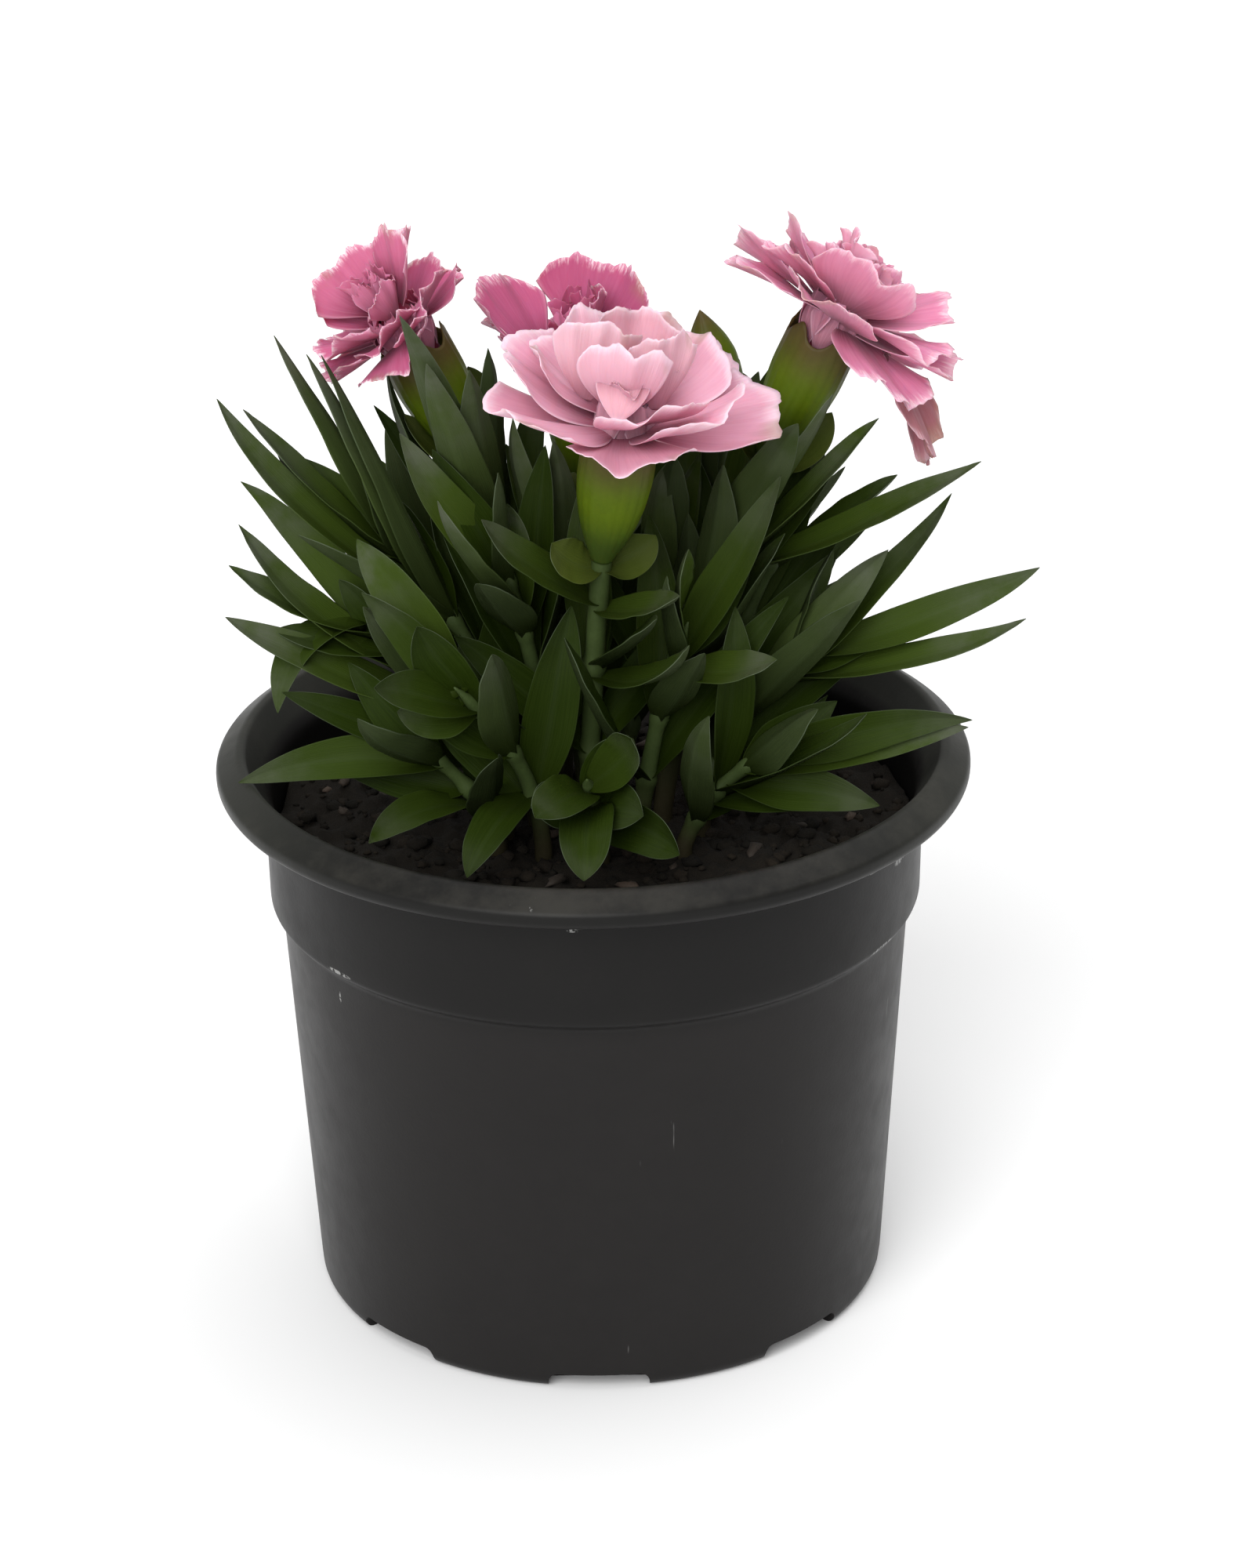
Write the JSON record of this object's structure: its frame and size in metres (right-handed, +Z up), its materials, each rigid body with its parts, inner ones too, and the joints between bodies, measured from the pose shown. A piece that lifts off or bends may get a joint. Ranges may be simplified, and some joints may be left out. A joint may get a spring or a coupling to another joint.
{
  "type": "dianthus plant in a pot",
  "caption": "Bushy dianthus plant with narrow grey-green leaves, ruffled pink blooms and a bud, growing in a round black nursery pot with a flared rim.",
  "frame": {"origin": "middle of the pot's underside, on the surface the pot stands on", "axes": "+Z up through the pot; -Y towards the side the front bloom leans to; +X to the right seen from there"},
  "size_m": [0.1302, 0.12, 0.1764],
  "materials": {
    "pot": "black moulded plastic, satin, with light scuffs",
    "soil": null,
    "foliage": null,
    "petal": null
  },
  "bodies": {
    "root": {"pot": "pot", "soil": "soil", "flower_shoot_front": "foliage", "flower_shoot_middle": "foliage", "flower_shoot_left": "foliage", "flower_shoot_right": "foliage", "flower_shoot_bud": "foliage", "leafy_shoot_left_high": "foliage", "leafy_shoot_left": "foliage", "leafy_shoot_left_low": "foliage", "leafy_shoot_front_left": "foliage", "leafy_shoot_front": "foliage", "leafy_shoot_centre_left": "foliage", "leafy_shoot_centre_right": "foliage", "leafy_shoot_middle_left": "foliage", "leafy_shoot_middle_right": "foliage", "leafy_shoot_right_low": "foliage", "leafy_shoot_right": "foliage", "leafy_shoot_right_high": "foliage", "leafy_shoot_back_left": "foliage", "leafy_shoot_back": "foliage", "leafy_shoot_back_right": "foliage", "bloom_front": "petal", "bloom_right": "petal", "bloom_left": "petal", "bloom_middle": "petal"}
  },
  "joints": []
}
